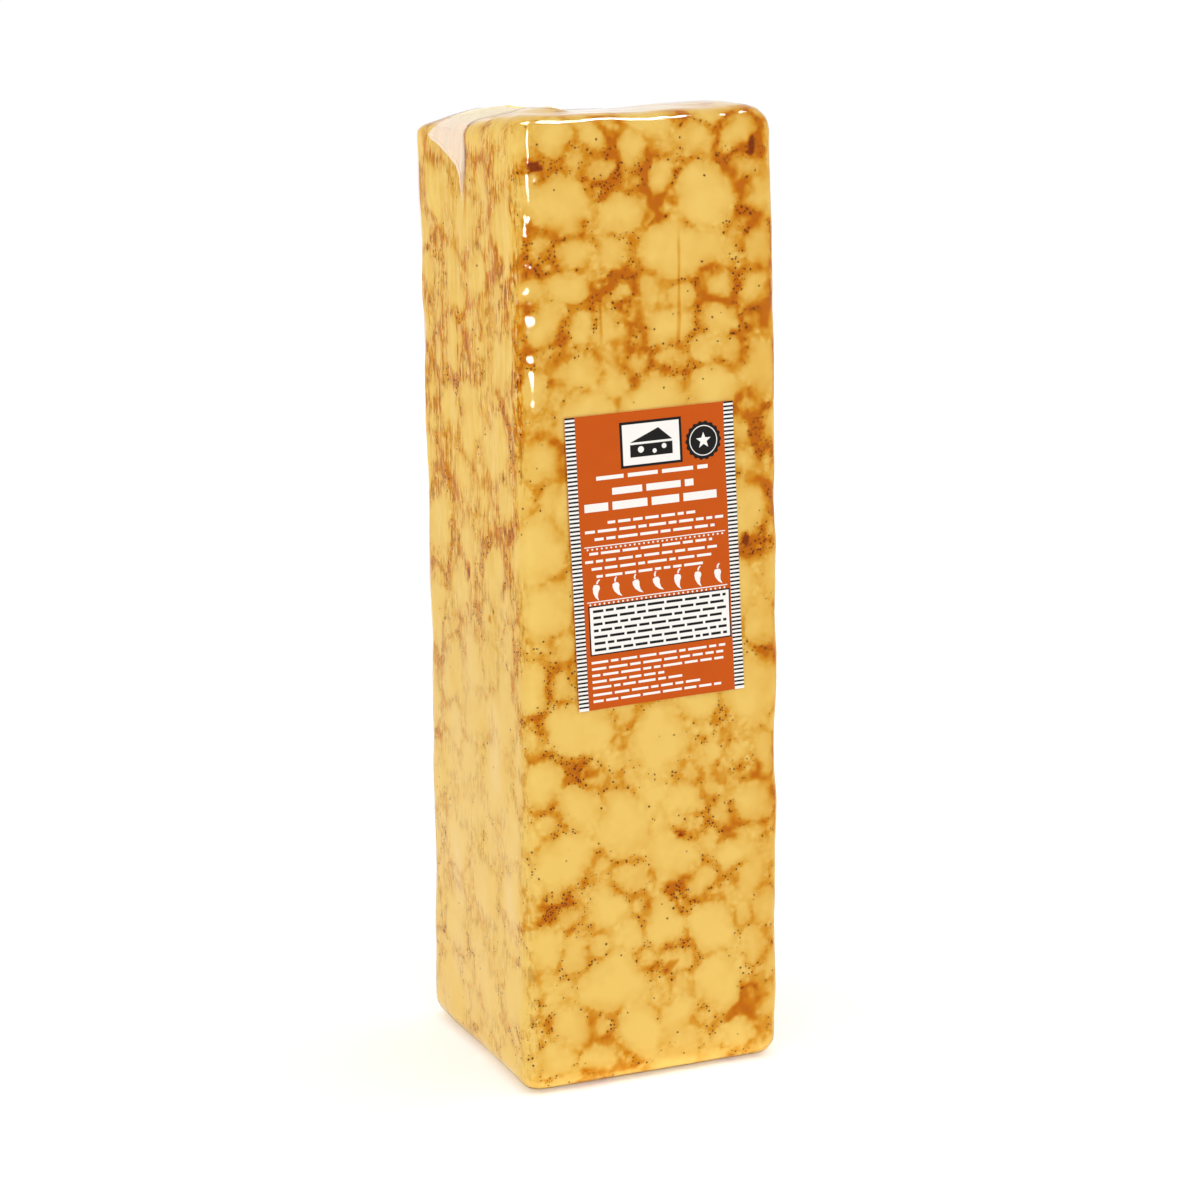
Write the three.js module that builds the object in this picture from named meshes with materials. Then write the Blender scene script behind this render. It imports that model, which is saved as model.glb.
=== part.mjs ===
// A tall loaf of chilli-veined cheddar in a skin-tight clear bag, standing on its end,
// with a paper label on its front.
// Millimetres, +Z up. The origin is the middle of the flat underside. The label faces -Y.

import * as THREE from "three";
import { mergeVertices } from "three/addons/utils/BufferGeometryUtils.js";

const { degToRad, lerp, smoothstep } = THREE.MathUtils;

// Loaf
const WIDTH = 85.4;
const DEPTH = 89;
const HEIGHT = 301;
const SIDE_EDGE_RADIUS = 4.5;
const TOP_EDGE_RADIUS = 6;
const FOOT_EDGE_RADIUS = 5;
const FOOT_FLARE = 1.7; // the foot is this much wider than the top
const BOW = 1.5; // the loaf leans out this far towards +X at mid-height
const LEAN = 0.8; // and this far at the top

// Lumps that the curds press into the bag
const LUMP_SIZE = 12;
const LUMP_RELIEF = 0.75;
const LABEL_CALM = 0.7; // share of the lumps that the label flattens

// Upright crags on the upper part of the left side
const CRAG_PITCH = 6;
const CRAG_LENGTH = 40;
const CRAG_RELIEF = 0.9;
const CRAG_FOOT = 113;
const CRAG_FULL = 193;

// Pleat of the bag at the top of the left side: a three-cornered hollow that runs down to a point,
// deepest in the groove along its front edge
const PLEAT_FRONT = -2;
const PLEAT_BACK = 28;
const PLEAT_LENGTH = 32;
const PLEAT_DEPTH = 4.2;
const PLEAT_GROOVE = 0.15; // share of the hollow's width, from its front edge to the groove's bottom

// Top: a low crown on the right, a drooping left shoulder, and the bag's end folded over it
const CROWN_X = 38;
const CROWN_Y = -14;
const CROWN_SPREAD = 20;
const CROWN_RISE = 2.6;
const SHOULDER_START = 20;
const SHOULDER_DROP = 3.4;
const SHOULDER_FRONT = -30;
const SHOULDER_FULL = 10;
const FOLD_END = -15;
const FOLD_FRONT = -22;
const FOLD_BLEND = 5;
const FOLD_LIFT = 1.6;

// Label
const LABEL_WIDTH = 55.6;
const LABEL_HEIGHT = 90.4;
const LABEL_THICKNESS = 0.3;
const LABEL_GAP = 0.3;
const LABEL_X = 2.3;
const LABEL_Z = 167.4;
const LABEL_TILT = degToRad(2);

// Fineness of the surfaces
const CORNER_STEPS = 3;
const SIDE_STEPS = { front: 14, right: 12, back: 12, left: 20 };
const FOOT_STEPS = 2;
const WALL_STEPS = 42;
const TOP_EDGE_STEPS = 3;
const TOP_STEPS = 5;
const WALL_CROWDING = 0.25; // wall rings crowd towards the top by this share
const LABEL_STEPS_ACROSS = 10;
const LABEL_STEPS_UP = 16;

const CHEESE = new THREE.MeshStandardMaterial({ color: 0xe8b654, roughness: 0.3, metalness: 0 });
const PAPER = new THREE.MeshStandardMaterial({ color: 0xcf5d16, roughness: 0.55, metalness: 0 });

// A fixed value from -1 to 1 for each corner of a cubic lattice
function latticeValue(i, j, k) {
  const wave = Math.sin(i * 127.1 + j * 311.7 + k * 74.7) * 43758.5453;
  return 2 * (wave - Math.floor(wave)) - 1;
}

// Smooth noise from -1 to 1 between the lattice values
function noise(x, y, z) {
  const [i, j, k] = [Math.floor(x), Math.floor(y), Math.floor(z)];
  const [u, v, w] = [smoothstep(x - i, 0, 1), smoothstep(y - j, 0, 1), smoothstep(z - k, 0, 1)];
  const along = (dj, dk) => lerp(latticeValue(i, j + dj, k + dk), latticeValue(i + 1, j + dj, k + dk), u);
  return lerp(lerp(along(0, 0), along(1, 0), v), lerp(along(0, 1), along(1, 1), v), w);
}

// 1 inside the band from low to high, falling to 0 over the blend outside it
function band(value, low, high, blend) {
  return smoothstep(value, low - blend, low) * (1 - smoothstep(value, high, high + blend));
}

// How far the loaf's middle lies towards +X
function bowAt(z) {
  return BOW * Math.sin((Math.PI * z) / HEIGHT) + (LEAN * z) / HEIGHT;
}

// How much wider the loaf is than at its top
function flareAt(z) {
  return 1 + (FOOT_FLARE / WIDTH) * (1 - z / HEIGHT);
}

function lumps(x, y, z) {
  return LUMP_RELIEF * noise(x / LUMP_SIZE, y / LUMP_SIZE, z / LUMP_SIZE);
}

// How far a point lies under the label, from 0 to 1
function underLabel(x, y, z) {
  const across = band(x, LABEL_X - LABEL_WIDTH / 2, LABEL_X + LABEL_WIDTH / 2, LUMP_SIZE / 2);
  const up = band(z, LABEL_Z - LABEL_HEIGHT / 2, LABEL_Z + LABEL_HEIGHT / 2, LUMP_SIZE / 2);
  return across * up * smoothstep(-y, 0, DEPTH / 2);
}

// Depth of the pleat's hollow, from 0 at its edges to nearly 1 at the top of its groove
function pleatAt(y, z) {
  const rise = (z - (HEIGHT - PLEAT_LENGTH)) / PLEAT_LENGTH;
  if (rise <= 0) return 0;
  const share = (y - PLEAT_FRONT) / ((PLEAT_BACK - PLEAT_FRONT) * rise);
  if (share <= 0 || share >= 1) return 0;
  return smoothstep(share, 0, PLEAT_GROOVE) * (1 - share) * Math.min(1, rise);
}

// How far the wall stands out from its plain outline
function wallRelief(x, y, z, outward) {
  const leftward = Math.max(0, -outward.x) ** 4;
  const cragged = leftward * smoothstep(z, CRAG_FOOT, CRAG_FULL);
  const lumpy = lumps(x, y, z) * (1 - LABEL_CALM * underLabel(x, y, z));
  const crags = CRAG_RELIEF * cragged * noise(0.5, y / CRAG_PITCH, z / CRAG_LENGTH);
  return lumpy + crags - PLEAT_DEPTH * leftward * pleatAt(y, z);
}

// How far the top stands up from its plane
function topRelief(x, y) {
  const away = Math.hypot(x - CROWN_X, y - CROWN_Y) / CROWN_SPREAD;
  const crown = CROWN_RISE * Math.exp(-(away ** 2) / 2);
  const drooping = smoothstep(y, SHOULDER_FRONT, SHOULDER_FULL);
  const shoulder = SHOULDER_DROP * drooping * smoothstep(-x, SHOULDER_START, WIDTH / 2);
  const lift = FOLD_LIFT * smoothstep(x, -WIDTH / 2, FOLD_END - FOLD_BLEND);
  const reach = 1 - smoothstep(x, FOLD_END - FOLD_BLEND, FOLD_END);
  const fold = lift * reach * smoothstep(y, FOLD_FRONT - FOLD_BLEND, FOLD_FRONT);
  return crown - shoulder + fold + lumps(x, y, HEIGHT) / 2;
}

// One lap of the loaf's section, anticlockwise from above: each station has its place and outward direction
function lapStations() {
  const stations = [];
  const middleX = WIDTH / 2 - SIDE_EDGE_RADIUS;
  const middleY = DEPTH / 2 - SIDE_EDGE_RADIUS;
  const { front, right, back, left } = SIDE_STEPS;
  const corners = [
    { x: -middleX, y: -middleY, nextSide: front },
    { x: middleX, y: -middleY, nextSide: right },
    { x: middleX, y: middleY, nextSide: back },
    { x: -middleX, y: middleY, nextSide: left },
  ];
  corners.forEach((corner, index) => {
    const next = corners[(index + 1) % corners.length];
    const startAngle = Math.PI + (index * Math.PI) / 2;
    for (let step = 0; step <= CORNER_STEPS; step += 1) {
      const angle = startAngle + ((step / CORNER_STEPS) * Math.PI) / 2;
      const outward = new THREE.Vector2(Math.cos(angle), Math.sin(angle));
      stations.push({
        x: corner.x + SIDE_EDGE_RADIUS * outward.x,
        y: corner.y + SIDE_EDGE_RADIUS * outward.y,
        outward,
      });
    }
    const { outward } = stations[stations.length - 1];
    for (let step = 1; step < corner.nextSide; step += 1) {
      const share = step / corner.nextSide;
      stations.push({
        x: lerp(corner.x, next.x, share) + SIDE_EDGE_RADIUS * outward.x,
        y: lerp(corner.y, next.y, share) + SIDE_EDGE_RADIUS * outward.y,
        outward,
      });
    }
  });
  return stations;
}

// The rings from the underside's edge up the wall and in over the top. Each has its height, its inset from
// the section, the share of the section it keeps on the top, and how much it faces out and up.
function ringLevels() {
  const rings = [];
  for (let step = 0; step <= FOOT_STEPS; step += 1) {
    const angle = ((step / FOOT_STEPS) * Math.PI) / 2;
    const inset = FOOT_EDGE_RADIUS * (1 - Math.sin(angle));
    rings.push({ z: FOOT_EDGE_RADIUS * (1 - Math.cos(angle)), inset, keep: 1, out: Math.sin(angle), up: 0 });
  }
  for (let step = 1; step < WALL_STEPS; step += 1) {
    const share = step / WALL_STEPS;
    const crowded = share * (1 + WALL_CROWDING * (1 - share));
    const z = lerp(FOOT_EDGE_RADIUS, HEIGHT - TOP_EDGE_RADIUS, crowded);
    rings.push({ z, inset: 0, keep: 1, out: 1, up: 0 });
  }
  for (let step = 0; step <= TOP_EDGE_STEPS; step += 1) {
    const angle = ((step / TOP_EDGE_STEPS) * Math.PI) / 2;
    const z = HEIGHT - TOP_EDGE_RADIUS * (1 - Math.sin(angle));
    const inset = TOP_EDGE_RADIUS * (1 - Math.cos(angle));
    rings.push({ z, inset, keep: 1, out: Math.cos(angle), up: Math.sin(angle) });
  }
  for (let step = 1; step < TOP_STEPS; step += 1) {
    rings.push({ z: HEIGHT, inset: TOP_EDGE_RADIUS, keep: 1 - step / TOP_STEPS, out: 0, up: 1 });
  }
  return rings;
}

// A point of the loaf's surface
function loafPoint(station, ring) {
  const x = station.x * flareAt(ring.z) * (1 - ring.inset / (WIDTH / 2)) * ring.keep;
  const y = station.y * (1 - ring.inset / (DEPTH / 2)) * ring.keep;
  const out = ring.out * wallRelief(x, y, ring.z, station.outward);
  return [
    x + out * station.outward.x + bowAt(ring.z),
    y + out * station.outward.y,
    ring.z + ring.up * topRelief(x, y),
  ];
}

function loafGeometry() {
  const stations = lapStations();
  const rings = ringLevels();
  const count = stations.length;
  const points = rings.flatMap((ring) => stations.flatMap((station) => loafPoint(station, ring)));
  const topMiddle = rings.length * count;
  const footMiddle = topMiddle + 1;
  points.push(bowAt(HEIGHT), 0, HEIGHT + topRelief(0, 0), 0, 0, 0);
  const faces = [];
  for (let lap = 0; lap < count; lap += 1) {
    const next = (lap + 1) % count;
    for (let ring = 0; ring < rings.length - 1; ring += 1) {
      const below = ring * count;
      const above = below + count;
      faces.push(below + lap, below + next, above + next, below + lap, above + next, above + lap);
    }
    const last = topMiddle - count;
    faces.push(last + lap, last + next, topMiddle, next, lap, footMiddle);
  }
  const geometry = new THREE.BufferGeometry();
  geometry.setAttribute("position", new THREE.Float32BufferAttribute(points, 3));
  geometry.setIndex(faces);
  geometry.computeVertexNormals();
  return geometry;
}

// The label: a thin sheet that follows the front of the bag
function labelGeometry() {
  const sheet = new THREE.BoxGeometry(
    LABEL_WIDTH, LABEL_THICKNESS, LABEL_HEIGHT, LABEL_STEPS_ACROSS, 1, LABEL_STEPS_UP,
  );
  sheet.deleteAttribute("normal");
  sheet.deleteAttribute("uv");
  const geometry = mergeVertices(sheet);
  geometry.rotateY(-LABEL_TILT);
  geometry.translate(LABEL_X, 0, LABEL_Z);
  const outward = new THREE.Vector2(0, -1);
  const position = geometry.getAttribute("position");
  for (let index = 0; index < position.count; index += 1) {
    const z = position.getZ(index);
    const x = position.getX(index) - bowAt(z);
    const front = -DEPTH / 2 - wallRelief(x, -DEPTH / 2, z, outward);
    position.setY(index, front - LABEL_GAP - LABEL_THICKNESS / 2 + position.getY(index));
  }
  geometry.computeVertexNormals();
  return geometry;
}

function namedMesh(name, geometry, material) {
  const mesh = new THREE.Mesh(geometry, material);
  mesh.name = name;
  return mesh;
}

const cheddarLoaf = new THREE.Group();
cheddarLoaf.add(namedMesh("loaf", loafGeometry(), CHEESE));
cheddarLoaf.add(namedMesh("label", labelGeometry(), PAPER));

export default cheddarLoaf;
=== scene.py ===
"""A tall loaf of chilli-veined cheddar in a tight clear bag with a paper label, around its CAD solids."""

import math
import random

import bpy
import numpy as np
from mathutils import Matrix, Vector, noise


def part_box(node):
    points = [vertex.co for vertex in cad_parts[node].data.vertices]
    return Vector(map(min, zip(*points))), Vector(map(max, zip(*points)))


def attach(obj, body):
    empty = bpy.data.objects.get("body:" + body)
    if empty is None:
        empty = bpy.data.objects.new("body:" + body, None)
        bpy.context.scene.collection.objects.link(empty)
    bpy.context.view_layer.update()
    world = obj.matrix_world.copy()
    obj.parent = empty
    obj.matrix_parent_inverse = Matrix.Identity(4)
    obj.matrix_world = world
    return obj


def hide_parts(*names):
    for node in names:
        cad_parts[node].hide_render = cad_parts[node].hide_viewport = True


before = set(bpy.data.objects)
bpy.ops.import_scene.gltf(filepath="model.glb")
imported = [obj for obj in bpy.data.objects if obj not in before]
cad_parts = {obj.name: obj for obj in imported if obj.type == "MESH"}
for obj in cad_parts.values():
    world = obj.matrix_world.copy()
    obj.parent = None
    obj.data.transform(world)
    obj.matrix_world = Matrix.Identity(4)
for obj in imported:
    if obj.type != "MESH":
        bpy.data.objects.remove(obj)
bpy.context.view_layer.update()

MM = 0.001
BODY = "root"

# Boxes of the loaf and label from the frame, and the loaf's plain sizes without its lumps
LOAF_LOW, LOAF_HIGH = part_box("loaf")
LABEL_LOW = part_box("label")[0]
LOAF_WIDTH = 85.4 * MM
LOAF_DEPTH = 89 * MM
LOAF_HEIGHT = 301 * MM

# The camera of the photograph, about a point near the middle of the loaf
PHOTO_SIZE = 1200
FOCAL_PIXELS = 2710
SHIFT_PIXELS = (6.5, -18.3)
CAMERA_AZIMUTH = math.radians(-22.45)
CAMERA_ELEVATION = math.radians(10.91)
CAMERA_ROLL = math.radians(-0.97)
CAMERA_DISTANCE = 0.870
CAMERA_TARGET = (0.0, 0.0, 152 * MM)
SENSOR = 36.0


def display(red, green, blue):
    """A colour as it shows on a screen, from 0 to 255, in the linear light that shaders use."""
    def linear(level):
        share = level / 255
        return share / 12.92 if share <= 0.04045 else ((share + 0.055) / 1.055) ** 2.4
    return (linear(red), linear(green), linear(blue), 1.0)


# Shader maths


class Flow:
    """One output of a material's node. Sums, products and comparisons of flows add Math nodes."""

    def __init__(self, finish, socket):
        self.finish = finish
        self.socket = socket

    def maths(self, operation, first, second=0.0):
        return self.finish.node("Math", {"operation": operation}, {0: first, 1: second})

    def __add__(self, other):
        return self.maths("ADD", self, other)

    def __radd__(self, other):
        return self.maths("ADD", other, self)

    def __sub__(self, other):
        return self.maths("SUBTRACT", self, other)

    def __rsub__(self, other):
        return self.maths("SUBTRACT", other, self)

    def __mul__(self, other):
        return self.maths("MULTIPLY", self, other)

    def __abs__(self):
        return self.maths("ABSOLUTE", self)

    def is_below(self, other):
        return self.maths("LESS_THAN", self, other)

    def least(self, other):
        return self.maths("MINIMUM", self, other)

    def rise(self, low, high):
        """0 below low, 1 above high, and a smooth step between them."""
        sockets = {"Value": self, "From Min": low, "From Max": high}
        return self.finish.node("MapRange", {"interpolation_type": "SMOOTHSTEP"}, sockets)

    def fall(self, low, high):
        """1 below low, 0 above high, and a smooth step between them."""
        sockets = {"Value": self, "From Min": low, "From Max": high, "To Min": 1.0, "To Max": 0.0}
        return self.finish.node("MapRange", {"interpolation_type": "SMOOTHSTEP"}, sockets)


class Finish:
    """A material under construction."""

    def __init__(self, name):
        self.material = bpy.data.materials.new(name)
        self.material.use_nodes = True
        self.tree = self.material.node_tree
        self.tree.nodes.clear()

    def node(self, kind, settings=None, sockets=None, output=0):
        """Add a node by its type, settings, and socket values or links. Gives one output, or several."""
        made = self.tree.nodes.new("ShaderNode" + kind)
        for name, value in (settings or {}).items():
            if name == "stops":
                self.set_stops(made.color_ramp, value)
            else:
                setattr(made, name, value)
        for key, value in (sockets or {}).items():
            if isinstance(value, Flow):
                self.tree.links.new(value.socket, made.inputs[key])
            else:
                made.inputs[key].default_value = value
        if isinstance(output, tuple):
            return [Flow(self, made.outputs[key]) for key in output]
        return Flow(self, made.outputs[output])

    def set_stops(self, ramp, stops):
        while len(ramp.elements) < len(stops):
            ramp.elements.new(0.5)
        for element, (place, colour) in zip(ramp.elements, stops):
            element.position = place
            element.color = colour

    def place(self):
        """Places on the piece, in millimetres."""
        metres = self.node("TexCoord", output="Object")
        return self.scaled(metres, 1 / MM)

    def scaled(self, vector, factor):
        return self.node("VectorMath", {"operation": "SCALE"}, {0: vector, "Scale": factor})

    def squeezed(self, vector, shares):
        """Places squeezed to a share along each axis. Noise is drawn out where the share is small."""
        return self.node("VectorMath", {"operation": "MULTIPLY"}, {0: vector, 1: shares})

    def attribute(self, name):
        return self.node("Attribute", {"attribute_name": name}, output="Fac")

    def moved(self, vector, shift):
        return self.node("VectorMath", {"operation": "ADD"}, {0: vector, 1: shift})

    def axes(self, vector):
        return self.node("SeparateXYZ", sockets={0: vector}, output=("X", "Y", "Z"))

    def noise(self, vector, size, detail=2.0, roughness=0.5, output=0):
        """Soft noise from 0 to 1 with blobs of about this size, in millimetres."""
        sockets = {"Vector": vector, "Scale": 1 / size, "Detail": detail, "Roughness": roughness}
        return self.node("TexNoise", sockets=sockets, output=output)

    def swing(self, vector, size, **settings):
        """The same noise, from about -0.5 to 0.5."""
        return self.noise(vector, size, **settings) - 0.5

    def warped(self, vector, size, reach):
        """Places pushed about by noise, up to about half the reach each way."""
        push = self.noise(vector, size, output="Color")
        centred = self.moved(push, (-0.5, -0.5, -0.5))
        return self.moved(vector, self.scaled(centred, reach))

    def mix(self, share, first, second):
        """The first colour, with this share of the second."""
        sockets = {0: share, 6: first, 7: second}
        return self.node("Mix", {"data_type": "RGBA"}, sockets, output=2)

    def bump(self, height):
        """A Bump for heights given in millimetres."""
        return self.node("Bump", sockets={"Height": height, "Distance": MM, "Strength": 1.0})

    def surface(self, shader):
        out = self.tree.nodes.new("ShaderNodeOutputMaterial")
        self.tree.links.new(shader.socket, out.inputs["Surface"])
        return self.material


# Modelling


def pick(piece):
    """Select this piece alone and make it the active one."""
    bpy.ops.object.select_all(action="DESELECT")
    piece.select_set(True)
    bpy.context.view_layer.objects.active = piece


def modify(piece, kind, **settings):
    """Add a modifier with these settings and apply it."""
    pick(piece)
    modifier = piece.modifiers.new(kind, kind)
    for name, value in settings.items():
        setattr(modifier, name, value)
    bpy.ops.object.modifier_apply(modifier=modifier.name)


def weigh(piece, name, weight_at):
    """A vertex group whose weights follow a function of the place."""
    group = piece.vertex_groups.new(name=name)
    for vertex in piece.data.vertices:
        weight = weight_at(vertex.co)
        if weight > 0:
            group.add([vertex.index], weight, "REPLACE")
    return name


def ruffle(piece, kind, grain, height, group="", stretch=(1, 1, 1), **texture_settings):
    """Push the surface in and out by a texture of this grain, along stretched axes if asked."""
    bpy.ops.object.empty_add(location=(0, 0, 0))
    ruler = bpy.context.object
    ruler.scale = stretch
    bpy.context.view_layer.update()
    texture = bpy.data.textures.new("relief", kind)
    texture.noise_scale = grain
    for name, value in texture_settings.items():
        setattr(texture, name, value)
    modify(piece, "DISPLACE", texture=texture, texture_coords="OBJECT", texture_coords_object=ruler,
           strength=height, mid_level=0.5, vertex_group=group)
    bpy.data.objects.remove(ruler)
    bpy.data.textures.remove(texture)


def step(value, low, high):
    """0 below low, 1 above high, and a smooth step between them."""
    share = min(1.0, max(0.0, (value - low) / (high - low)))
    return share * share * (3 - 2 * share)


def finish_piece(piece, material):
    piece.data.materials.clear()
    piece.data.materials.append(material)
    pick(piece)
    bpy.ops.object.shade_smooth()
    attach(piece, BODY)
    return piece


# Cheese and film

WELD = 0.01 * MM
SKIN_GRAIN = 1.25 * MM
SKIN_SMOOTHING = 3
FILM_GAP = 0.35 * MM


def skin(name):
    """A fine, even skin over the loaf: a merged copy of its solid, remeshed and smoothed."""
    piece = bpy.data.objects.new(name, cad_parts["loaf"].data.copy())
    bpy.context.scene.collection.objects.link(piece)
    pick(piece)
    bpy.ops.object.mode_set(mode="EDIT")
    bpy.ops.mesh.select_all(action="SELECT")
    bpy.ops.mesh.remove_doubles(threshold=WELD)
    bpy.ops.object.mode_set(mode="OBJECT")
    modify(piece, "REMESH", mode="VOXEL", voxel_size=SKIN_GRAIN)
    modify(piece, "SMOOTH", factor=0.5, iterations=SKIN_SMOOTHING)
    return piece


def leftward(place):
    """How much a place belongs to the left side, from 0 to 1."""
    return step(-place.x, LOAF_WIDTH / 2 - 5 * MM, LOAF_WIDTH / 2 - 2 * MM)


def torn(place):
    """The upper left side, where the curd is torn into upright fibres."""
    return leftward(place) * step(place.z, 113 * MM, 193 * MM)


def edgeward(place):
    """How much the film may wrinkle: most along the near upright edge, less along the other edges."""
    inward_x = LOAF_WIDTH / 2 - abs(place.x)
    inward_y = LOAF_DEPTH / 2 - abs(place.y)
    upright = 1 - step(max(inward_x, inward_y), 5 * MM, 13 * MM)
    near = step(-place.x, 0, 10 * MM) * step(-place.y, 0, 10 * MM) * step(place.z, 212 * MM, 232 * MM)
    top = (1 - step(LOAF_HEIGHT - place.z, 5 * MM, 12 * MM)) * step(-place.y, 30 * MM, 38 * MM)
    return max(upright * (0.2 + 0.8 * near), top * 0.12) * step(place.z, 4 * MM, 12 * MM)


def cheese_block():
    """The contents of the bag: the loaf, just inside the film, with its fine relief."""
    piece = skin("cheese")
    modify(piece, "DISPLACE", strength=-FILM_GAP, mid_level=0.0)
    torn_side = weigh(piece, "torn", torn)
    ruffle(piece, "CLOUDS", 2.2 * MM, 1.1 * MM, torn_side, stretch=(1, 1, 7), noise_depth=1)
    return piece


def clear_film():
    """The bag: a clear skin with small wrinkles along the loaf's edges."""
    piece = skin("film")
    edges = weigh(piece, "edges", edgeward)
    ruffle(piece, "CLOUDS", 3.4 * MM, 1.4 * MM, edges, stretch=(1, 1, 2.2), noise_depth=1)
    torn_side = weigh(piece, "torn", torn)
    ruffle(piece, "CLOUDS", 2.6 * MM, 0.7 * MM, torn_side, stretch=(1, 1, 8), noise_depth=1)
    return piece


# Curds that stand out on the front: middle across and up, half width, half height, and turn in degrees
FRONT_CURDS = [
    (-29, 295, 7.5, 6, 0), (-16.5, 294, 4, 5, 0), (-4.5, 289, 4.5, 6.5, 0), (16, 292.5, 7, 4.8, 10),
    (32, 295, 7.5, 7, 0), (-27, 274.5, 11, 10, 0), (-7, 272.5, 8, 6.8, -20), (6, 282, 4, 9.5, 8),
    (21, 276, 10.2, 11.5, -20), (11, 260.2, 18, 9, 0), (38, 261, 4.5, 8, 0), (-21.5, 260.5, 8.5, 3.8, 5),
    (-24, 251, 7, 4.8, 5), (-33.5, 239, 6.5, 6.5, 0), (6.5, 237, 9.5, 6, 0), (24, 239, 7, 5.5, 0),
    (-11, 237, 7.5, 3.8, -35), (-10.5, 221.5, 5, 5.5, 0), (-37, 220.5, 6, 8, 0), (38, 223, 6.5, 9.5, -15),
    (-35, 199, 7, 9, 0), (-34, 153, 8, 12, 0), (38, 143, 5, 9, 0), (-24, 116, 14, 8.5, 0),
    (16, 119, 8.5, 5.5, 0), (-35.5, 100, 5.5, 8, 0), (19.5, 102.5, 4.5, 4.5, 0), (38.7, 101.5, 3.5, 9, 0),
    (-9.5, 83, 8, 14, -12), (-30, 75, 10.5, 10.5, 30), (11, 90, 8, 7, 0), (28, 69.5, 6.5, 5.5, 0),
    (15.8, 63, 5, 6.5, -15), (-16, 58.5, 7.5, 7.5, 0), (4, 50.5, 6.5, 9.5, -15), (20, 48, 8, 10, -8),
    (-13.5, 33, 12.8, 9.6, -8), (22.5, 27.5, 7.5, 9, 0), (9, 20, 7.8, 6, -20), (-26.5, 45.5, 4.5, 6.5, 0),
    (-37, 47.5, 5, 7.5, 0), (36, 38, 5, 6, 0), (28.5, 10.5, 9, 5, -10), (-18.5, 9.5, 6.5, 6.5, 0),
    (-35, 11, 7, 7.5, 0),
]
CURD_DEPTH = 9.0
FILL_SIZES = [(11, 500), (8.5, 900), (6, 2200), (4, 5000), (2.7, 8000)]
FILL_CROWDING = 0.86
# Blender takes the bends of the borders from the clock, unless they have a seed
BORDER_SEED = 1795611177

# Pools of chilli on the front: middle across and up, radius, and strength
FRONT_POOLS = [
    (-21, 102, 4.5, 1.2), (-15, 251, 4, 1.0), (24, 249, 7, 0.7), (-37, 287, 5, 1.0), (33, 254, 4, 1.1),
    (13, 284, 3, 1.0), (6.5, 273, 5, 0.9), (33.5, 273, 6, 0.8), (8, 115, 4.5, 0.9), (33, 98, 4, 1.1),
    (10, 224, 7, 0.6), (0, 216, 4, 1.0), (-24, 236, 4, 0.8), (-6, 248, 7, 0.5), (34, 169, 5, 1.2),
    (38, 207, 9, 1.0), (38, 190, 9, 1.0), (38, 176, 8, 0.9), (39, 157, 8, 1.0), (38, 134, 9, 0.9),
    (-4, 107, 9, 0.5), (26, 106, 9, 0.5), (37.5, 291, 3.5, 1.0),
]

# Flakes of chilli skin on the front: middle across and up, half width, half height, and turn in degrees
FRONT_FLAKES = [
    (7.2, 35.5, 3.4, 1.6, -35), (9.5, 79, 1.2, 0.9, 0), (33.5, 170, 1.5, 2.2, 10), (37, 290, 0.9, 4.5, 5),
    (-36.5, 287, 2.5, 1.3, 20), (-21, 102, 2.2, 1.6, 0), (-15, 251.5, 2.0, 1.2, 30),
]

# Flakes on the left side: middle front to back and up, half depth and half height
LEFT_FLAKES = [
    (-25.6, 288.3, 1.1, 1.6), (27.3, 219.7, 1.2, 1.4), (-38.1, 206, 1.1, 1.8), (-12.4, 237.4, 0.9, 2.4),
    (-41.1, 221.2, 0.9, 2.6), (7, 145.8, 1.1, 1.7), (6.4, 160.8, 1.1, 2.6), (-39.4, 150.2, 0.9, 2.6),
    (-13.6, 145.4, 1.1, 1.4),
]

CURD_RAMP = [
    (0.0, display(248, 213, 116)), (0.2, display(240, 196, 92)), (0.4, display(228, 167, 50)),
    (0.6, display(219, 144, 14)), (0.8, display(202, 110, 0)), (1.0, display(142, 58, 2)),
]
SPECK = display(98, 36, 3)
PALE_CHIP = display(250, 224, 150)
# Brown of the chips, also used for the painted shade on the left side
BROWN_CHIP_AND_SHADE = display(158, 92, 30)


def shell_point(chance):
    """A seeded place on the loaf's sides, top or foot, in millimetres."""
    half_width = LOAF_WIDTH / 2 / MM
    half_depth = LOAF_DEPTH / 2 / MM
    height = LOAF_HEIGHT / MM
    across = chance.uniform(-half_width, half_width)
    deep = chance.uniform(-half_depth, half_depth)
    up = chance.uniform(0, height)
    side = chance.choice(["front", "back", "left", "right"] * 3 + ["top", "foot"])
    return {
        "front": (across, -half_depth, up), "back": (across, half_depth, up),
        "left": (-half_width, deep, up), "right": (half_width, deep, up),
        "top": (across, deep, height), "foot": (across, deep, 0),
    }[side]


def curd_layout():
    """Every curd as its middle, half sizes and turn: the listed ones, then seeded ones between them."""
    chance = random.Random(11)
    curds = []
    for across, up, half_width, half_height, turn in FRONT_CURDS:
        curds.append(((across, -LOAF_DEPTH / 2 / MM, up), (half_width, CURD_DEPTH, half_height), turn))
    middles = np.array([curd[0] for curd in curds])
    sizes = np.array([(curd[1][0] + curd[1][2]) / 2 for curd in curds])
    for size, tries in FILL_SIZES:
        for _ in range(tries):
            middle = np.array(shell_point(chance))
            away = np.linalg.norm(middles - middle, axis=1)
            if (away < FILL_CROWDING * (sizes + size)).any():
                continue
            halves = tuple(size * chance.uniform(0.85, 1.3) for _ in range(3))
            curds.append((tuple(middle), halves, chance.uniform(-40, 40)))
            middles = np.vstack([middles, middle])
            sizes = np.append(sizes, size)
    return curds


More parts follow.
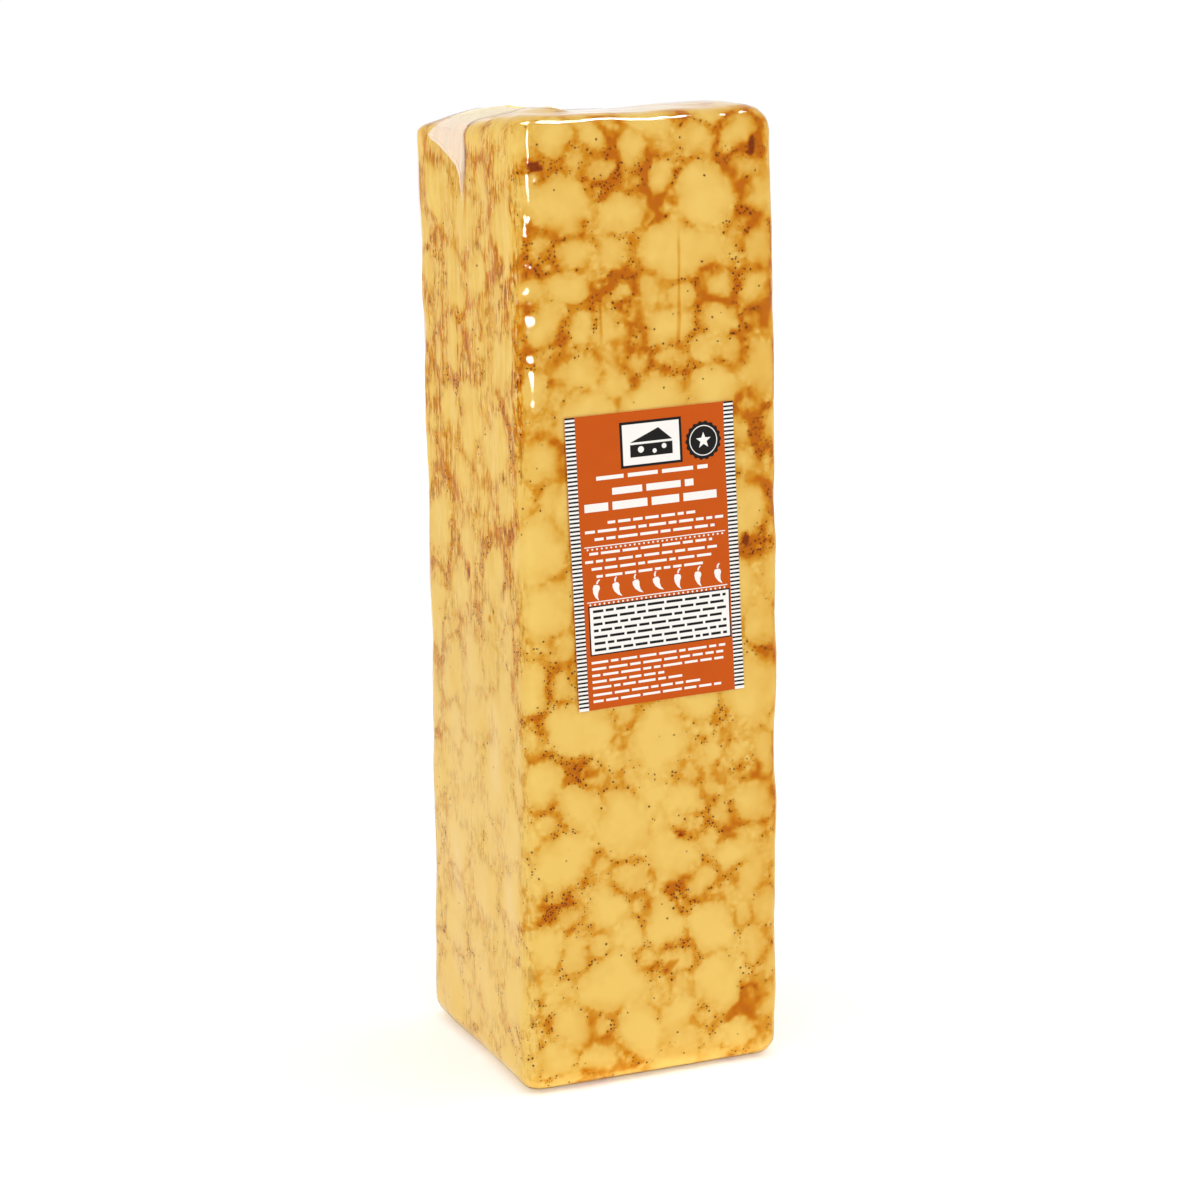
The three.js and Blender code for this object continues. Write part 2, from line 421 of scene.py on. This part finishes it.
def ellipsoid_distance(places, middle, halves, turn):
    """About how far each place is outside an ellipsoid that is turned about the front-to-back axis."""
    unturn = np.array(Matrix.Rotation(math.radians(turn), 3, "Y"))
    local = (places - np.array(middle)) @ unturn / np.array(halves)
    return (np.linalg.norm(local, axis=1) - 1) * (sum(halves) / 3)


def curd_depth(places, curds):
    """How far each place is inside its curd, in millimetres: below 0 in the gaps between curds."""
    nearest = np.full(len(places), 50.0)
    second = np.full(len(places), 50.0)
    for middle, halves, turn in curds:
        outside = ellipsoid_distance(places, middle, halves, turn)
        second = np.minimum(second, np.maximum(nearest, outside))
        nearest = np.minimum(nearest, outside)
    return (second - nearest) / 2 - np.maximum(nearest, 0)


def bent(place, size, reach):
    """A place pushed about by smooth noise of this size, up to the reach."""
    return place + noise.noise_vector(place / size) * reach


def store(piece, name, values):
    """Keep one number for each vertex, for the piece's material."""
    layer = piece.data.attributes.new(name, "FLOAT", "POINT")
    layer.data.foreach_set("value", values)


def flake_layout():
    """Every flake of chilli skin as its middle, half sizes and turn."""
    flakes = []
    for across, up, half_width, half_height, turn in FRONT_FLAKES:
        flakes.append(((across, -LOAF_DEPTH / 2 / MM, up), (half_width, CURD_DEPTH, half_height), turn))
    for deep, up, half_depth, half_height in LEFT_FLAKES:
        flakes.append(((-LOAF_WIDTH / 2 / MM, deep, up), (CURD_DEPTH, half_depth, half_height), 0))
    return flakes


def off_front(place):
    """0 on the front, 1 on the other sides, where the curds are less regular."""
    return step(place.y, -LOAF_DEPTH / 2 / MM + 3, -LOAF_DEPTH / 2 / MM + 8)


def store_curds(piece):
    """Keep the depth in the curds, the chilli and the flakes at each vertex of the cheese."""
    noise.seed_set(BORDER_SEED)
    places = [vertex.co / MM for vertex in piece.data.vertices]
    wavy = np.array([bent(bent(place, 10, 2.4 + 3.0 * off_front(place)), 3.6, 0.9) for place in places])
    store(piece, "curd_depth", curd_depth(wavy, curd_layout()))
    chilli = np.array([0.5 + 0.75 * noise.noise(place / 24) for place in places])
    soft = np.array([bent(place, 6, 2.5) for place in places])
    for across, up, radius, strength in FRONT_POOLS:
        away = np.linalg.norm(soft - np.array((across, -LOAF_DEPTH / 2 / MM, up)), axis=1)
        chilli += strength * np.exp(-(away / radius) ** 2)
    store(piece, "chilli", np.clip(chilli, 0, 2))
    flakes = np.zeros(len(places))
    for middle, halves, turn in flake_layout():
        outside = ellipsoid_distance(wavy, middle, halves, turn)
        flakes = np.maximum(flakes, np.clip(0.5 - outside / 1.2, 0, 1))
    store(piece, "flake", flakes)


class CheeseFinish(Finish):
    """The marbled cheese's material, and the layers of its colour."""

    def __init__(self):
        super().__init__("marbled_cheese")
        self.spot = self.place()
        self.across, self.deep, self.up = self.axes(self.spot)
        self.upright = self.squeezed(self.spot, (1, 1, 0.12))
        self.chilli = self.attribute("chilli")
        self.front = self.deep.fall(-43, -40)
        self.left = self.across.fall(-41, -38)
        self.torn_side = self.left * self.up.rise(103, 193)
        self.ragged = self.ragged_depth()

    def ragged_depth(self):
        """The depth in the curds, made ragged at several scales."""
        depth = self.attribute("curd_depth")
        depth = depth + self.swing(self.spot, 2.6, detail=3, roughness=0.6) * 3.6
        return depth + self.swing(self.upright, 1.8, detail=2) * self.torn_side * 3.0

    def veins(self):
        """The soft halo and the dark core of the veins, which come and go."""
        fine = self.swing(self.spot, 1.0, detail=2) * 1.6
        width = (0.3 + self.chilli * 1.7) * (1 - self.left * 0.6)
        patchy = self.noise(self.spot, 10, detail=2).rise(0.34, 0.58)
        calm = 1 - self.left * self.up.fall(63, 173) * 0.4
        halo = self.ragged.fall(-0.5, 6.0) * (0.15 + self.chilli * 0.28) * (0.42 + patchy * 0.7)
        halo = halo * calm * (1 - self.left * 0.4)
        core = (self.ragged + fine).fall(width * -0.5, width + 0.8)
        core = core * (0.08 + self.chilli * 0.55) * (0.15 + patchy) * calm * (1 - self.torn_side * 0.3)
        return halo, core

    def mottle(self):
        """Cloudiness inside the curds."""
        return self.swing(self.spot, 8, detail=3) * 0.4 + self.swing(self.spot, 3, detail=2) * 0.16

    def crumbs(self):
        """Crumbs and grit in the veins."""
        zone = self.ragged.fall(0.0, 4.2) * (0.25 + self.chilli * 0.5)
        grit = self.swing(self.spot, 1.7, detail=3, roughness=0.7)
        cells = {"Vector": self.warped(self.spot, 2.5, 2.0), "Scale": 1 / 3.4}
        crumb = self.node("TexVoronoi", {"feature": "F1"}, cells).fall(0.1, 0.5)
        return zone * (grit * 1.1 - crumb * 0.36 + 0.08)

    def fibres(self):
        """Upright fibres and cracks on the torn side, and painted shade in the groove of the pleat."""
        fibre = self.swing(self.upright, 1.5, detail=3)
        crack = abs(self.swing(self.warped(self.upright, 3, 2), 2.6, detail=3)).fall(0.0, 0.05)
        crack = crack * self.ragged.fall(0.5, 4.5) * (0.25 + self.chilli * 0.7)
        # Painted shade darkening the pleat's groove on the upper left side
        groove = abs(self.deep + 1.5).fall(0.4, 2.0 + self.up.rise(281, 299) * 3.0)
        groove = groove * self.left * self.up.rise(261, 279) * 0.35
        return (fibre * 0.6 + crack + 0.05) * self.torn_side + groove

    def drips(self):
        """Two drips of chilli oil on the front."""
        wobble = self.swing(self.upright, 5) * 3
        first = abs(self.across + wobble - 11).fall(0.2, 0.8)
        first = first * self.up.rise(227, 235) * self.up.fall(261, 268)
        second = abs(self.across + wobble + 15).fall(0.2, 0.8)
        second = second * self.up.rise(231, 237) * self.up.fall(243, 248)
        return (first + second) * self.front * 0.35

    def chipped_and_shaded(self, colour):
        """The colour with painted shade that darkens the left side, and pale and brown chips along its
        veins.
        """
        flaky = self.squeezed(self.spot, (1, 1, 0.32))
        chip = self.noise(self.warped(flaky, 2, 1.5), 1.3, detail=4, roughness=0.62)
        zone = self.ragged.fall(0.5, 4.5) * (0.5 + self.chilli * 0.5)
        zone = zone * self.left * (0.5 + self.torn_side * 0.5)
        colour = self.mix(chip.rise(0.55, 0.62) * zone * 0.7, colour, PALE_CHIP)
        colour = self.mix(chip.fall(0.4, 0.48) * zone * 0.8, colour, BROWN_CHIP_AND_SHADE)
        # Painted shade: the left side darkened towards the brown of the chips, fully above its lower part
        return self.mix(self.left * self.up.rise(60, 150) * 0.13, colour, BROWN_CHIP_AND_SHADE)

    def specked(self, colour, core):
        """The colour with dark specks of chilli, most of them in the cores of the veins."""
        cells = {"Vector": self.warped(self.spot, 1.5, 0.8), "Scale": 1.0}
        away, tint = self.node("TexVoronoi", {"feature": "F1"}, cells, output=("Distance", "Color"))
        lot, size, _ = self.axes(tint)
        chance = 0.006 + core * 2.0 * self.noise(self.spot, 12).rise(0.4, 0.56)
        dot = away.fall(0.18 + size * 0.14, 0.3 + size * 0.18) * lot.is_below(chance)
        return self.mix(dot * 0.9, colour, SPECK)


def cheese_finish():
    """Pale curds in fuzzy amber veins, stained most towards the top; darker towards the right edge of the
    front, partly amber stain and partly painted shade.
    """
    finish = CheeseFinish()
    halo, core = finish.veins()
    upper = finish.up.rise(113, 253)
    stain = (halo + core) * (0.9 + upper * 0.25) + upper * 0.05
    stain = stain + finish.mottle() + finish.fibres() + finish.crumbs() + finish.drips()
    # Painted shade towards the right edge of the front, partly a real amber stain there
    stain = stain + finish.across.rise(28, 41) * finish.front * 0.16
    amber = (stain * 0.8).least(0.78 - finish.torn_side * 0.06) + finish.attribute("flake") * 0.5
    colour = finish.node("ValToRGB", {"stops": CURD_RAMP}, {0: amber})
    colour = finish.specked(finish.chipped_and_shaded(colour), core)
    grain = finish.noise(finish.spot, 0.9, detail=2) * 0.06 + finish.ragged.rise(0.0, 2.5) * 0.12
    shader = finish.node("BsdfPrincipled", sockets={
        "Base Color": colour,
        "Roughness": 0.55,
        "Specular IOR Level": 0.05,
        "Normal": finish.bump(grain),
    })
    return finish.surface(shader)


def film_finish():
    """Clear glossy film: it shows what is under it, and mirrors more at a slant."""
    finish = Finish("clear_film")
    place = finish.place()
    across, deep, up = finish.axes(place)
    slack = finish.noise(place, 5, detail=2) * 0.12
    near_edge = across.fall(-39, -31) * deep.fall(-39, -31) * up.rise(205, 230)
    creased = finish.squeezed(place, (1, 1, 0.5))
    creases = finish.noise(creased, 2.6, detail=2) * near_edge * 0.16
    normal = finish.bump(slack + creases)
    mirror = finish.node("Fresnel", sockets={"IOR": 1.18, "Normal": normal})
    mirror = mirror * (1 - across.fall(-41, -38) * up.rise(63, 203) * 0.7)
    gloss = finish.node("BsdfGlossy", sockets={"Color": (1, 1, 1, 1), "Roughness": 0.012, "Normal": normal})
    clear = finish.node("BsdfTransparent", sockets={"Color": (1, 1, 1, 1)})
    return finish.surface(finish.node("MixShader", sockets={0: mirror, 1: clear, 2: gloss}))


def wrapped_cheese():
    block = cheese_block()
    store_curds(block)
    cheese = finish_piece(block, cheese_finish())
    film = finish_piece(clear_film(), film_finish())
    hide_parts("loaf")
    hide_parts("loaf")
    return film


# Film folds

HAZE_SHARE = 0.85
FOLD_STEP = 1.5 * MM
CLEARANCE = 8 * MM
FOLD_LIFT = 0.15 * MM
FOLD_THICKNESS = 0.1 * MM
CRISP_ANGLE = math.radians(60)

# The slanting edge of the folded ear on the left side, as places front to back and up, in millimetres
EAR_SLANT = [
    (-1, 272), (1.6, 278), (3.6, 282), (6.5, 285.3),
    (11.8, 288.3), (17.8, 290.8), (25.4, 292.9), (28, 294.5),
]
# The whole ear, and the hem along its slanting edge
EAR_OUTLINE = EAR_SLANT + [(26.5, 296.3), (22, 298), (16, 300), (8, 300.2), (2.5, 299), (0, 294), (-1, 286)]
HEM_OUTLINE = EAR_SLANT + [
    (24.8, 293.8), (17.3, 291.8), (11.2, 289.3), (5.7, 286.2), (2.8, 282.6), (1.0, 278.4),
]
# The flap that the ear's folds make on the top, and its free end, as places across and front to back
FLAP_OUTLINE = [(-40, -6), (-33, -14), (-15, -17), (-15, 27), (-31, 30), (-40, 26)]
FLAP_END_OUTLINE = [(-17.5, -16), (-15, -17), (-15, 27), (-17.5, 27.5)]
FLAP_END_THICKNESS = 0.6 * MM


def panel(name, corners):
    """A flat sheet with these corners."""
    bpy.ops.mesh.primitive_circle_add(vertices=len(corners), fill_type="NGON")
    piece = bpy.context.object
    piece.name = name
    for vertex, corner in zip(piece.data.vertices, corners):
        vertex.co = corner
    return piece


def slice_up(piece, axis, spacing):
    """Cut the piece across an axis every so often, so that it can follow what it lies on."""
    pick(piece)
    bpy.ops.object.mode_set(mode="EDIT")
    normal = [0, 0, 0]
    normal[axis] = 1
    places = [vertex.co[axis] for vertex in piece.data.vertices]
    cut = min(places) + spacing
    while cut < max(places):
        point = [0, 0, 0]
        point[axis] = cut
        bpy.ops.mesh.select_all(action="SELECT")
        bpy.ops.mesh.bisect(plane_co=point, plane_no=normal)
        cut += spacing
    bpy.ops.object.mode_set(mode="OBJECT")


def press_onto(piece, target, axis, forward, gap):
    """Move the piece along one axis until it lies on the target, this far off it."""
    modify(piece, "SHRINKWRAP", target=target, wrap_method="PROJECT", wrap_mode="ABOVE_SURFACE", offset=gap,
           use_project_x=axis == 0, use_project_y=axis == 1, use_project_z=axis == 2,
           use_positive_direction=forward, use_negative_direction=not forward)


def thicken(piece, thickness, offset):
    """Give a sheet its thickness, with crisp edges."""
    modify(piece, "SOLIDIFY", thickness=thickness, offset=offset)
    pick(piece)
    bpy.ops.object.mode_set(mode="EDIT")
    bpy.ops.mesh.select_mode(type="EDGE")
    bpy.ops.mesh.select_all(action="DESELECT")
    bpy.ops.mesh.edges_select_sharp(sharpness=CRISP_ANGLE)
    bpy.ops.mesh.mark_sharp()
    bpy.ops.object.mode_set(mode="OBJECT")


def side_fold(name, outline, film, lift, thickness):
    """Film folded flat on the left side, from an outline front to back and up."""
    piece = panel(name, [(LOAF_LOW.x - CLEARANCE, deep * MM, up * MM) for deep, up in outline])
    slice_up(piece, 1, FOLD_STEP)
    slice_up(piece, 2, FOLD_STEP)
    press_onto(piece, film, 0, True, lift)
    thicken(piece, thickness, 0)
    return piece


def top_fold(name, outline, film, lift, thickness, offset):
    """Film folded flat on the top, from an outline across and front to back."""
    piece = panel(name, [(across * MM, deep * MM, LOAF_HIGH.z + CLEARANCE) for across, deep in outline])
    slice_up(piece, 0, FOLD_STEP)
    slice_up(piece, 1, FOLD_STEP)
    press_onto(piece, film, 2, False, lift)
    thicken(piece, thickness, offset)
    return piece


def edge_finish():
    """Layered film seen edge on, painted with the cheese's yellow as the light that its layers carry."""
    finish = Finish("film_edge")
    place = finish.place()
    layers = finish.noise(finish.squeezed(place, (1, 0.2, 5)), 1.5)
    glow = finish.node("BsdfPrincipled", sockets={
        "Base Color": finish.mix(layers, display(255, 240, 150), display(250, 216, 96)),
        "Roughness": 0.3,
    })
    clear = finish.node("BsdfTransparent", sockets={"Color": (1, 1, 1, 1)})
    return finish.surface(finish.node("MixShader", sockets={0: 0.7 + layers * 0.2, 1: clear, 2: glow}))


def hazy_finish():
    """Film folded into several layers: milky, with faint upright creases."""
    finish = Finish("folded_film")
    place = finish.place()
    creases = finish.noise(finish.squeezed(place, (1, 1, 0.15)), 2.5)
    across, deep, up = finish.axes(place)
    on_top = up.rise(297, 301)
    side_tint = finish.mix(creases, display(255, 241, 220), display(254, 216, 174))
    top_tint = finish.mix(creases, display(255, 248, 222), display(255, 236, 176))
    milk = finish.node("BsdfPrincipled", sockets={
        "Base Color": finish.mix(on_top, side_tint, top_tint),
        "Roughness": 0.3,
        "Normal": finish.bump(creases * 0.15),
    })
    clear = finish.node("BsdfTransparent", sockets={"Color": (1, 1, 1, 1)})
    ear_fade = deep.rise(-1.5, 4.0)
    flap_fade = deep.rise(-16, 0) * 0.65
    fade = ear_fade + (flap_fade - ear_fade) * on_top
    share = (HAZE_SHARE + (creases - 0.5) * 0.5) * fade
    return finish.surface(finish.node("MixShader", sockets={0: share, 1: clear, 2: milk}))


def spare_film(film):
    """The ear with its doubled hem, and the flap that it makes on the top, whose free end stands proud."""
    haze = hazy_finish()
    ear = side_fold("film_ear", EAR_OUTLINE, film, FOLD_LIFT, FOLD_THICKNESS)
    flap = top_fold("film_flap", FLAP_OUTLINE, film, FOLD_LIFT, FOLD_THICKNESS, 0)
    hem = side_fold("ear_hem", HEM_OUTLINE, film, FOLD_LIFT + 2 * FOLD_THICKNESS, 2 * FOLD_THICKNESS)
    end_lift = FLAP_END_THICKNESS + FOLD_LIFT
    end = top_fold("flap_end", FLAP_END_OUTLINE, film, end_lift, FLAP_END_THICKNESS, -1)
    folds = [finish_piece(piece, haze) for piece in (ear, flap, hem)]
    folds.append(finish_piece(end, edge_finish()))
    return folds


# Paper label

LABEL_WIDTH = 55.6
LABEL_HEIGHT = 90.4
LABEL_TILT = math.radians(2)
LABEL_MIDDLE = (2.3, 167.4)
LABEL_GAP = 0.12 * MM
PAPER_THICKNESS = 0.2 * MM
INK_GAP = 0.03 * MM
INK_THICKNESS = 0.02 * MM
STRIPE_PITCH = 1.27
STRIPE_HEIGHT = 0.55
BAR_WIDTH = 3.2
SLICE = 2.5 * MM

# Print on the label, in millimetres from its middle: boxes as their middle, width and height
PICTURE_BOX = (0, 35.1, 20.4, 14.0)
PICTURE_BORDER = 0.8
FACTS_BOX = (0.5, -20.6, 47.4, 15.4)
FACTS_BORDER = 0.4
FACTS_ROWS = 7
SEAL_MIDDLE = (17.4, 34)
PEPPERS = 7
# Rows of words as their place up and width, the headings also with their height
HEADINGS = [(26, 37, 1.2), (21.6, 27, 2.1), (17.2, 45.5, 2.5)]
INTRODUCTION = [(12.3, 31), (9.9, 46), (7.5, 40)]
STORY = [(3.2, 41), (0.8, 44), (-1.5, 40), (-3.9, 37)]
SMALL_PRINT = [
    (-30.5, 45), (-32.5, 44.5), (-34.5, 45), (-36.5, 24), (-38.4, 30), (-40.6, 36), (-42.6, 43),
]


def on_label(right, up):
    """A place in front of the loaf, from millimetres right of and above the label's middle."""
    across = LABEL_MIDDLE[0] + right * math.cos(LABEL_TILT) - up * math.sin(LABEL_TILT)
    height = LABEL_MIDDLE[1] + right * math.sin(LABEL_TILT) + up * math.cos(LABEL_TILT)
    return (across * MM, LABEL_LOW.y - CLEARANCE, height * MM)


def box_shape(right, up, width, height):
    """A rectangle about a middle, counter-clockwise."""
    half_width = width / 2
    half_height = height / 2
    return [
        (right - half_width, up - half_height), (right + half_width, up - half_height),
        (right + half_width, up + half_height), (right - half_width, up + half_height),
    ]


def sheet_of(name, shapes):
    """One mesh of flat shapes that lie in the label's plane."""
    corners = []
    faces = []
    for shape in shapes:
        first = len(corners)
        corners.extend(on_label(right, up) for right, up in shape)
        faces.append(range(first, first + len(shape)))
    mesh = bpy.data.meshes.new(name)
    mesh.from_pydata(corners, [], [list(face) for face in faces])
    piece = bpy.data.objects.new(name, mesh)
    bpy.context.scene.collection.objects.link(piece)
    slice_up(piece, 0, SLICE)
    slice_up(piece, 2, SLICE)
    return piece


def paper(film):
    """The label itself, lying on the film."""
    piece = sheet_of("paper_label", [box_shape(0, 0, LABEL_WIDTH, LABEL_HEIGHT)])
    press_onto(piece, film, 1, True, LABEL_GAP + PAPER_THICKNESS)
    thicken(piece, PAPER_THICKNESS, -1)
    return piece


def printed(name, shapes, film, layer, ink):
    """Shapes in one ink on the label. Higher layers lie over lower ones."""
    piece = sheet_of(name, shapes)
    press_onto(piece, film, 1, True, LABEL_GAP + PAPER_THICKNESS + INK_GAP * layer)
    thicken(piece, INK_THICKNESS, -1)
    finish_piece(piece, ink)
    return piece


def word_row(chance, middle, up, width, height, shortest=2.0, longest=6.5, gap=0.9):
    """A row of bars that stands for a line of words."""
    shapes = []
    left = middle - width / 2
    end = middle + width / 2
    while left < end - shortest / 2:
        length = min(chance.uniform(shortest, longest), end - left)
        shapes.append(box_shape(left + length / 2, up, length, height))
        left += length + gap
    return shapes


def ring_shape(right, up, radius, lobes, depth, points):
    """A round outline with lobes around its rim."""
    shape = []
    for index in range(points):
        angle = 2 * math.pi * index / points
        reach = radius + depth * math.cos(lobes * angle)
        shape.append((right + reach * math.cos(angle), up + reach * math.sin(angle)))
    return shape


def star_shape(right, up, radius, arms=5):
    shape = []
    for index in range(2 * arms):
        angle = math.pi / 2 + math.pi * index / arms
        reach = radius if index % 2 == 0 else radius * 0.42
        shape.append((right + reach * math.cos(angle), up + reach * math.sin(angle)))
    return shape


def pepper_shapes(right, up, size, lean):
    """A simple chilli pepper with its stalk, leaning by some degrees."""
    body = [
        (-0.9, 1.5), (-1.05, 0.6), (-0.75, -0.6), (0.1, -1.8), (1.3, -2.6),
        (0.75, -1.4), (0.75, -0.2), (1.05, 0.8), (0.8, 1.5), (0, 1.75),
    ]
    stalk = [(-0.25, 1.95), (0.25, 1.95), (0.35, 2.6), (0.8, 3.1), (0.45, 3.3), (-0.1, 2.75)]
    turn = math.radians(lean)
    shapes = []
    for outline in (body, stalk):
        shapes.append([
            (
                right + size * (x * math.cos(turn) - y * math.sin(turn)),
                up + size * (x * math.sin(turn) + y * math.cos(turn)),
            )
            for x, y in outline
        ])
    return shapes


def edge_stripes():
    """The black stripes of the two side bars."""
    shapes = []
    count = int(LABEL_HEIGHT / STRIPE_PITCH)
    for side in (-1, 1):
        middle = side * (LABEL_WIDTH - BAR_WIDTH) / 2
        for index in range(count):
            up = LABEL_HEIGHT / 2 - STRIPE_HEIGHT / 2 - index * STRIPE_PITCH
            shapes.append(box_shape(middle, up, BAR_WIDTH, STRIPE_HEIGHT))
    return shapes


def dotted_rule(up, width, pitch=1.55):
    """A thin rule with a row of dots under it."""
    shapes = [box_shape(0, up, width, 0.3)]
    count = int(width / pitch)
    for index in range(count):
        right = (index - (count - 1) / 2) * pitch
        shapes.append(ring_shape(right, up - 0.75, 0.32, 1, 0, 8))
    return shapes


def white_print(chance):
    """The lowest layer of white: side bars, rules, peppers and rows of words."""
    shapes = []
    for side in (-1, 1):
        shapes.append(box_shape(side * (LABEL_WIDTH - BAR_WIDTH) / 2, 0, BAR_WIDTH, LABEL_HEIGHT))
    for up, width, height in HEADINGS:
        shapes += word_row(chance, 0, up, width, height, 4, 12, 1.4)
    for up, width in INTRODUCTION:
        shapes += word_row(chance, 0, up, width, 0.85)
    shapes += dotted_rule(5.3, 47)
    for up, width in STORY:
        shapes += word_row(chance, -1.5, up, width, 0.8)
    for index in range(PEPPERS):
        lean = chance.uniform(-18, 18)
        shapes += pepper_shapes(-20.4 + index * 6.8, -8.3, 1.12, lean)
    shapes += dotted_rule(-11.7, 47)
    for up, width in SMALL_PRINT:
        shapes += word_row(chance, (width - 46) / 2, up, width, 0.75)
    return shapes


def round_shape(middle, radius, points):
    return ring_shape(*middle, radius, 1, 0, points)


def inset(box, border):
    """A box as its middle, width and height, made smaller by a border all round."""
    right, up, width, height = box
    return (right, up, width - 2 * border, height - 2 * border)


def label_print(film, white, black):
    """All the print, from the lowest layer to the highest."""
    chance = random.Random(5)
    printed("white_print", white_print(chance), film, 1, white)
    frames = edge_stripes()
    frames.append(box_shape(*PICTURE_BOX))
    frames.append(box_shape(*FACTS_BOX))
    frames.append(ring_shape(*SEAL_MIDDLE, 5.8, 18, 0.25, 108))
    printed("black_print", frames, film, 2, black)
    panels = [
        box_shape(*inset(PICTURE_BOX, PICTURE_BORDER)),
        box_shape(*inset(FACTS_BOX, FACTS_BORDER)),
        round_shape(SEAL_MIDDLE, 4.7, 48),
    ]
    printed("white_panels", panels, film, 3, white)
    wedge_side = [(-7, 31.2), (7, 31.2), (7, 35), (-7, 35)]
    wedge_top = [(-7, 35.7), (7, 35.7), (2.5, 39.6)]
    details = [round_shape(SEAL_MIDDLE, 4.4, 48), wedge_side, wedge_top]
    for row in range(FACTS_ROWS):
        details += word_row(chance, FACTS_BOX[0], -14.6 - row * 2.0, 44.5, 0.8, 1.5, 5.5, 0.8)
    printed("black_details", details, film, 4, black)
    holes = [
        star_shape(*SEAL_MIDDLE, 2.6),
        round_shape((-3.5, 33.4), 1.0, 16),
        round_shape((1.0, 32.6), 0.7, 16),
        round_shape((4.2, 33.8), 0.8, 16),
    ]
    printed("white_details", holes, film, 5, white)


def paper_finish(name, light, dark, roughness):
    """Coated paper or ink, with a faint cloudiness and fibre grain."""
    finish = Finish(name)
    place = finish.place()
    cloud = finish.noise(place, 6, detail=4)
    fibre = finish.noise(place, 0.5, detail=2)
    shader = finish.node("BsdfPrincipled", sockets={
        "Base Color": finish.mix(cloud, light, dark),
        "Roughness": roughness + (fibre - 0.5) * 0.1,
        "Specular IOR Level": 0.12,
        "Normal": finish.bump(fibre * 0.02),
    })
    return finish.surface(shader)


def paper_label(film):
    orange = paper_finish("orange_paper", display(203, 87, 9), display(194, 80, 7), 0.45)
    white = paper_finish("white_ink", display(250, 247, 242), display(243, 238, 231), 0.45)
    black = paper_finish("black_ink", display(30, 27, 25), display(22, 20, 19), 0.4)
    label = finish_piece(paper(film), orange)
    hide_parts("label")
    label_print(film, white, black)


# Stage, light and camera

FLOOR_SIZE = 8.0
FLOOR_DROP = 0.4 * MM


def floor():
    bpy.ops.mesh.primitive_plane_add(size=FLOOR_SIZE, location=(0, 0, -FLOOR_DROP))
    piece = bpy.context.object
    piece.name = "floor"
    finish = Finish("pale_floor")
    shader = finish.node("BsdfPrincipled", sockets={
        "Base Color": (0.9, 0.9, 0.9, 1),
        "Roughness": 1.0,
        "Specular IOR Level": 0.0,
        "Emission Color": (1, 1, 1, 1),
        "Emission Strength": 0.22,
    })
    piece.data.materials.append(finish.surface(shader))


def softbox(name, place, aim, width, height, radiance, film_pieces):
    """A soft light of this brightness that faces a point and shows only as gloss on the film."""
    lamp = bpy.data.lights.new(name, "AREA")
    lamp.shape = "RECTANGLE"
    lamp.size = width
    lamp.size_y = height
    lamp.energy = radiance * math.pi * width * height
    box = bpy.data.objects.new(name, lamp)
    bpy.context.scene.collection.objects.link(box)
    box.location = place
    box.rotation_euler = (Vector(aim) - Vector(place)).to_track_quat("-Z", "Y").to_euler()
    box.visible_camera = False
    box.visible_diffuse = False
    box.light_linking.receiver_collection = film_pieces


def studio(films):
    world = bpy.data.worlds.new("white_room")
    world.use_nodes = True
    world.node_tree.nodes["Background"].inputs["Color"].default_value = (1, 1, 1, 1)
    world.node_tree.nodes["Background"].inputs["Strength"].default_value = 1.02
    bpy.context.scene.world = world
    film_pieces = bpy.data.collections.new("film_pieces")
    for film in films:
        film_pieces.objects.link(film)
    softbox("front_strip", (-0.07, -1.15, 0.62), (-0.07, 0, 0.62), 0.2, 0.9, 400, film_pieces)
    softbox("overhead", (0.1, -0.1, 1.4), (0, 0, 0), 0.6, 0.6, 220, film_pieces)
    bpy.context.scene.view_settings.view_transform = "Standard"


def camera():
    """The photograph's camera, turned about its target."""
    target = Vector(CAMERA_TARGET)
    flat = math.cos(CAMERA_ELEVATION)
    back = Vector((
        math.sin(CAMERA_AZIMUTH) * flat,
        -math.cos(CAMERA_AZIMUTH) * flat,
        math.sin(CAMERA_ELEVATION),
    ))
    right = Vector((0, 0, 1)).cross(back).normalized()
    up = back.cross(right)
    turned_right = right * math.cos(CAMERA_ROLL) + up * math.sin(CAMERA_ROLL)
    turned_up = up * math.cos(CAMERA_ROLL) - right * math.sin(CAMERA_ROLL)
    lens = bpy.data.cameras.new("photo_camera")
    lens.sensor_width = SENSOR
    lens.lens = FOCAL_PIXELS / PHOTO_SIZE * SENSOR
    lens.shift_x = SHIFT_PIXELS[0] / PHOTO_SIZE
    lens.shift_y = SHIFT_PIXELS[1] / PHOTO_SIZE
    stand = bpy.data.objects.new("photo_camera", lens)
    bpy.context.scene.collection.objects.link(stand)
    stand.matrix_world = Matrix((
        (turned_right.x, turned_up.x, back.x, target.x + back.x * CAMERA_DISTANCE),
        (turned_right.y, turned_up.y, back.y, target.y + back.y * CAMERA_DISTANCE),
        (turned_right.z, turned_up.z, back.z, target.z + back.z * CAMERA_DISTANCE),
        (0, 0, 0, 1),
    ))
    bpy.context.scene.camera = stand


camera()
floor()
loaf_film = wrapped_cheese()
folds = spare_film(loaf_film)
paper_label(loaf_film)
studio([loaf_film] + folds)
